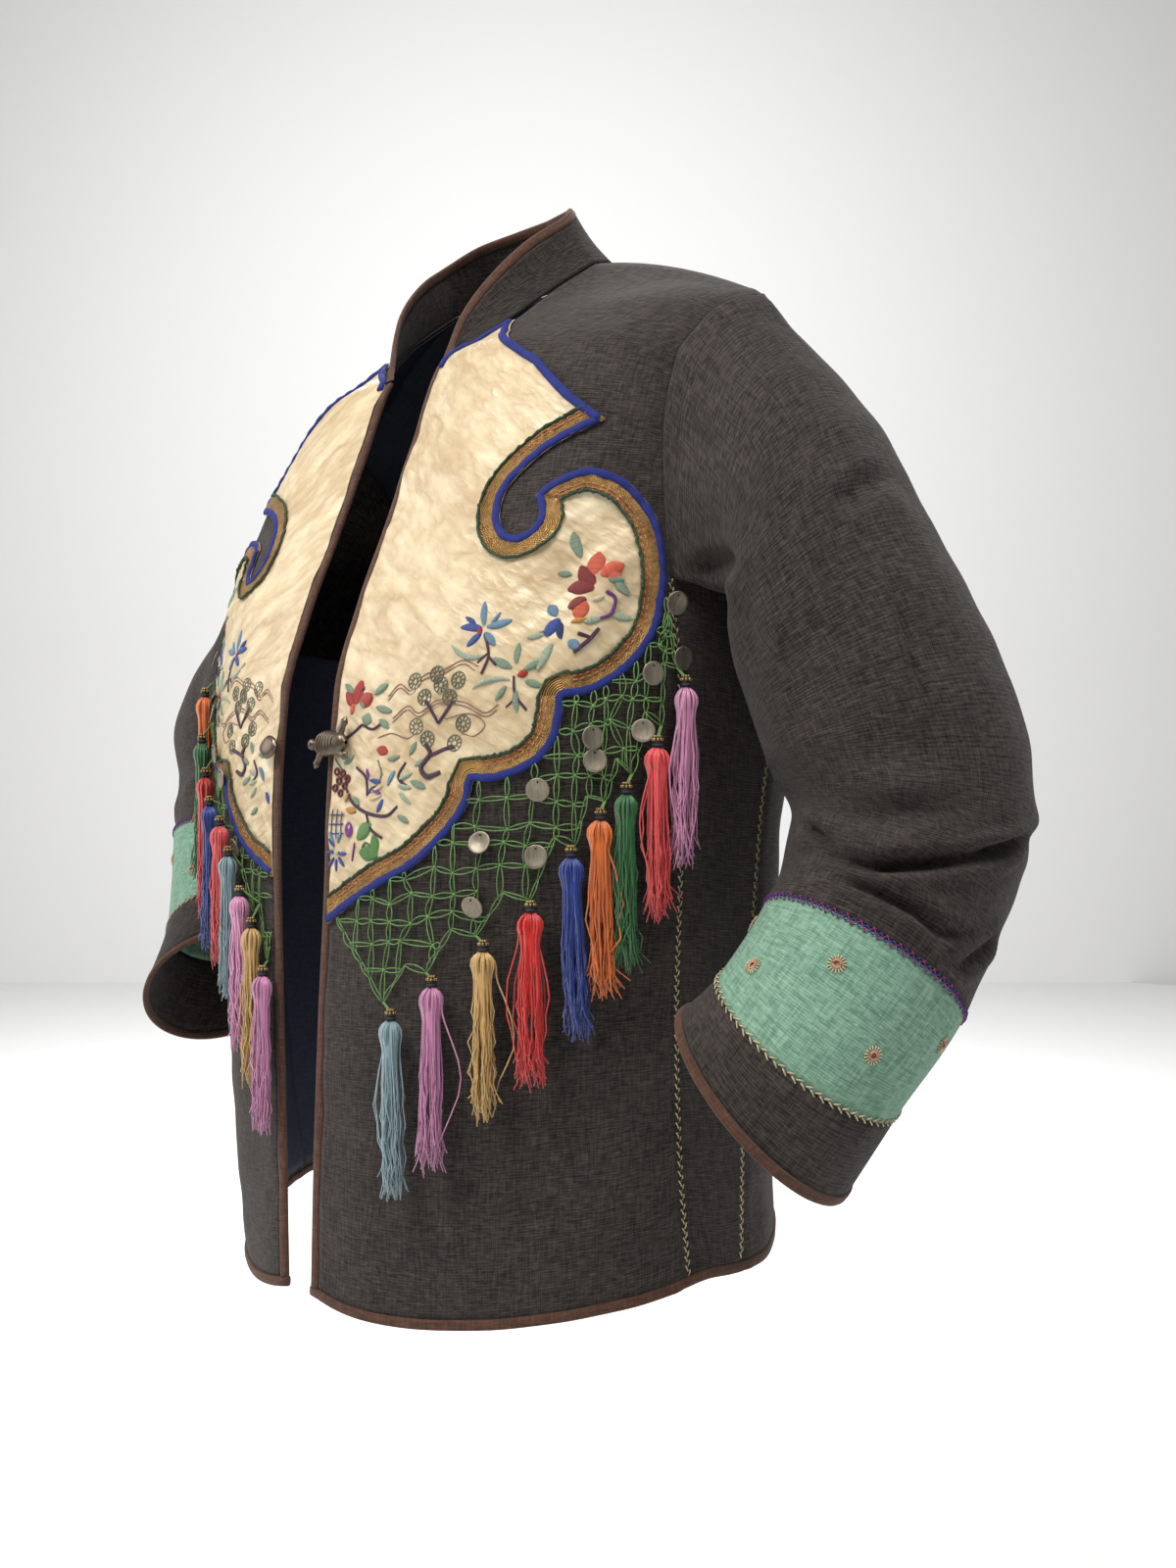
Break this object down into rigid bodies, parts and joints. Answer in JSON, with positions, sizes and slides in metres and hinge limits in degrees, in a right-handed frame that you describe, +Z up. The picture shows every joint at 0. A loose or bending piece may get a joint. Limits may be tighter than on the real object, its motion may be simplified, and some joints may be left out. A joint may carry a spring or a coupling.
{
  "type": "embroidered jacket",
  "caption": "Hip-length open jacket of dark hemp with a stand collar, satin cloud-collar appliques, knotted nets hung with silk tassels, and banded sleeves.",
  "frame": {"origin": "midway between the two points where the shoulder lines meet the neck, where the wearer's shoulders carry the jacket", "axes": "+Z up; the open front faces -Y; the wearer's left is +X"},
  "size_m": [0.688, 0.3356, 0.6629],
  "materials": {
    "bias_binding": "folded bias strip",
    "blue_bias": "ribbed bias strip",
    "cream_satin": "crinkled silk satin",
    "dark_hemp": "coarse slubby weave",
    "gold_braid": "tarnished metallic braid",
    "green_thread": "twisted thread",
    "navy_lining": "plain lining cloth",
    "pewter": "dull cast",
    "sea_green_linen": "plain weave",
    "silk_coral": "loose silk threads",
    "silk_green": "loose silk threads",
    "silk_lilac": "loose silk threads",
    "silk_orange": "loose silk threads",
    "silk_pink": "loose silk threads",
    "silk_red": "loose silk threads",
    "silk_royal_blue": "loose silk threads",
    "silk_steel_blue": "loose silk threads",
    "silk_straw": "loose silk threads"
  },
  "bodies": {
    "root": {"back": "dark_hemp", "blue_edging_left": "blue_bias", "blue_edging_right": "blue_bias", "clasp_left": "pewter", "clasp_right": "pewter", "collar": "dark_hemp", "collar_binding": "bias_binding", "cuff_binding_left": "bias_binding", "cuff_binding_right": "bias_binding", "cuff_left": "dark_hemp", "cuff_right": "dark_hemp", "edge_binding_left": "bias_binding", "edge_binding_right": "bias_binding", "front_left": "dark_hemp", "front_right": "dark_hemp", "gold_border_left": "gold_braid", "gold_border_right": "gold_braid", "hem_binding": "bias_binding", "lining_back": "navy_lining", "lining_front_left": "navy_lining", "lining_front_right": "navy_lining", "net_left": "green_thread", "net_right": "green_thread", "satin_left": "cream_satin", "satin_right": "cream_satin", "side_left": "dark_hemp", "side_right": "dark_hemp", "sleeve_band_left": "sea_green_linen", "sleeve_band_right": "sea_green_linen", "sleeve_left": "dark_hemp", "sleeve_right": "dark_hemp", "tassel_left_1": "silk_steel_blue", "tassel_left_2": "silk_lilac", "tassel_left_3": "silk_straw", "tassel_left_4": "silk_red", "tassel_left_5": "silk_royal_blue", "tassel_left_6": "silk_orange", "tassel_left_7": "silk_green", "tassel_left_8": "silk_coral", "tassel_left_9": "silk_pink", "tassel_right_1": "silk_lilac", "tassel_right_2": "silk_straw", "tassel_right_3": "silk_pink", "tassel_right_4": "silk_steel_blue", "tassel_right_5": "silk_coral", "tassel_right_6": "silk_royal_blue", "tassel_right_7": "silk_red", "tassel_right_8": "silk_green", "tassel_right_9": "silk_orange"}
  },
  "joints": []
}
